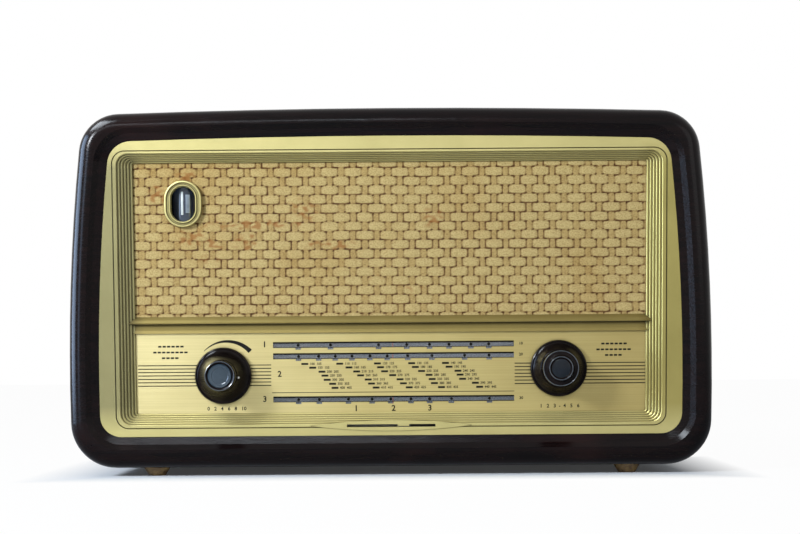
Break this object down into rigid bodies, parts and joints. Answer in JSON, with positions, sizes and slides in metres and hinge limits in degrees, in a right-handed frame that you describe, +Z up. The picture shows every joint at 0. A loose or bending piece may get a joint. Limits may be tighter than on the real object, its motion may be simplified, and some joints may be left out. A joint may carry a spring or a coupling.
{
  "type": "radio",
  "caption": "Valve table radio with a bulged wooden cabinet, reeded gilt bezel, woven speaker cloth, slotted dial with a cord-driven pointer, and turning knobs.",
  "frame": {"origin": "under the middle of the whole object, on the surface that its feet stand on", "axes": "+X to the right as seen from the front, +Y from the front to the back, +Z up"},
  "size_m": [0.52, 0.2206, 0.297],
  "materials": {
    "lacquered_wood": "dark gloss lacquer over walnut",
    "plain_wood": "unfinished plywood and softwood",
    "gilt_moulding": "satin pale gold",
    "dial_metal": "brushed gold anodised",
    "cloth": "woven, cream and brown",
    "dial_glass": "polished",
    "knob_plastic": "dark brown gloss",
    "shaft_steel": "turned",
    "chassis_steel": "plated sheet",
    "brass_parts": "turned and stamped",
    "alloy_parts": "spun and pressed",
    "valve_glass": "clear",
    "black_moulding": "moulded black",
    "brown_laminate": "pressed board",
    "paper_cone": "pressed black paper",
    "magnet_iron": "painted grey",
    "core_iron": "laminated",
    "winding": "varnished wire under paper",
    "ferrite": "fired dark grey",
    "coil_paper": "waxed",
    "cord_yarn": "braided",
    "foot_rubber": "worn brown",
    "pointer_red": "painted",
    "screw_steel": "plated"
  },
  "bodies": {
    "cabinet": {"cabinet_shell": "lacquered_wood", "front_frame": "lacquered_wood", "back_battens": "plain_wood", "bezel": "gilt_moulding", "divider_bar": "gilt_moulding", "magic_eye_ring": "gilt_moulding", "dial_plate": "dial_metal", "speaker_cloth": "cloth", "baffle_board": "plain_wood", "baffle_screws": "screw_steel", "dial_glass": "dial_glass", "volume_control": "alloy_parts", "spindle_bracket": "chassis_steel", "dial_backplate": "alloy_parts", "pointer_rail": "shaft_steel", "dial_cord": "cord_yarn", "chassis": "chassis_steel", "chassis_bolts": "screw_steel", "valve_sockets": "brown_laminate", "small_valves": "valve_glass", "power_valves": "valve_glass", "if_cans": "alloy_parts", "smoothing_capacitor": "alloy_parts", "mains_transformer_core": "core_iron", "mains_transformer_coil": "winding", "output_transformer": "core_iron", "ferrite_rod": "ferrite", "ferrite_coils": "coil_paper", "rod_posts": "black_moulding", "capacitor_frame": "alloy_parts", "band_switch_frame": "brown_laminate", "speaker_basket": "chassis_steel", "speaker_cone": "paper_cone", "speaker_magnet": "magnet_iron", "speaker_screws": "screw_steel", "magic_eye_valve": "valve_glass", "magic_eye_holder": "black_moulding", "back_cover": "brown_laminate", "back_screws": "screw_steel", "socket_strip": "brown_laminate", "cord_grommet": "black_moulding", "selector_base": "brown_laminate", "feet": "foot_rubber"},
    "volume": {"volume_knob": "knob_plastic", "volume_shaft": "shaft_steel"},
    "tuning": {"tuning_knob": "knob_plastic", "tuning_spindle": "shaft_steel"},
    "band": {"band_ring": "knob_plastic", "band_lever": "brass_parts"},
    "band_flag": {"band_indicator": "brass_parts"},
    "band_switch": {"band_switch_rotor": "shaft_steel"},
    "drum": {"dial_drum": "alloy_parts", "capacitor_rotor": "alloy_parts"},
    "pointer": {"dial_pointer": "pointer_red"},
    "left_idler": {"idler_pulley_left": "brass_parts"},
    "right_idler": {"idler_pulley_right": "brass_parts"},
    "mains_selector": {"voltage_selector": "black_moulding"}
  },
  "joints": [
    {"name": "volume_turn", "type": "hinge", "parent": "cabinet", "child": "volume", "pos_m": [-0.136, 0, 0.081], "axis": [0, 1, 0], "range_deg": [0, 280]},
    {"name": "tuning_turn", "type": "hinge", "parent": "cabinet", "child": "tuning", "pos_m": [0.136, 0, 0.0852], "axis": [0, 1, 0], "range_deg": [-1200, 1130]},
    {"name": "drum_turn", "type": "hinge", "parent": "cabinet", "child": "drum", "pos_m": [0.04, 0, 0.08], "axis": [0, 1, 0], "range_deg": [-93, 88]},
    {"name": "pointer_slide", "type": "slide", "parent": "cabinet", "child": "pointer", "axis": [1, 0, 0], "range_m": [-0.084, 0.079]},
    {"name": "left_idler_turn", "type": "hinge", "parent": "cabinet", "child": "left_idler", "pos_m": [-0.104, 0, 0.1283], "axis": [0, 1, 0], "range_deg": [-624, 588]},
    {"name": "right_idler_turn", "type": "hinge", "parent": "cabinet", "child": "right_idler", "pos_m": [0.104, 0, 0.1283], "axis": [0, 1, 0], "range_deg": [-624, 588]},
    {"name": "band_turn", "type": "hinge", "parent": "cabinet", "child": "band", "pos_m": [0.136, 0, 0.0852], "axis": [0, 1, 0], "range_deg": [-26, 53]},
    {"name": "band_flag_slide", "type": "slide", "parent": "cabinet", "child": "band_flag", "axis": [1, 0, 0], "range_m": [-0.0397, 0.0196]},
    {"name": "band_switch_turn", "type": "hinge", "parent": "cabinet", "child": "band_switch", "pos_m": [0.092, 0, 0.034], "axis": [0, 1, 0], "range_deg": [-26, 53]},
    {"name": "selector_turn", "type": "hinge", "parent": "cabinet", "child": "mains_selector", "pos_m": [-0.06, 0, 0.035], "axis": [0, 1, 0], "range_deg": [0, 240]}
  ],
  "couplings": [
    {"joint": "drum_turn", "follows": "tuning_turn", "ratio": 0.077369},
    {"joint": "pointer_slide", "follows": "tuning_turn", "m_per_rad": 0.004},
    {"joint": "left_idler_turn", "follows": "tuning_turn", "ratio": 0.51948},
    {"joint": "right_idler_turn", "follows": "tuning_turn", "ratio": 0.51948},
    {"joint": "band_flag_slide", "follows": "band_turn", "m_per_rad": -0.0428},
    {"joint": "band_switch_turn", "follows": "band_turn", "ratio": 1}
  ]
}
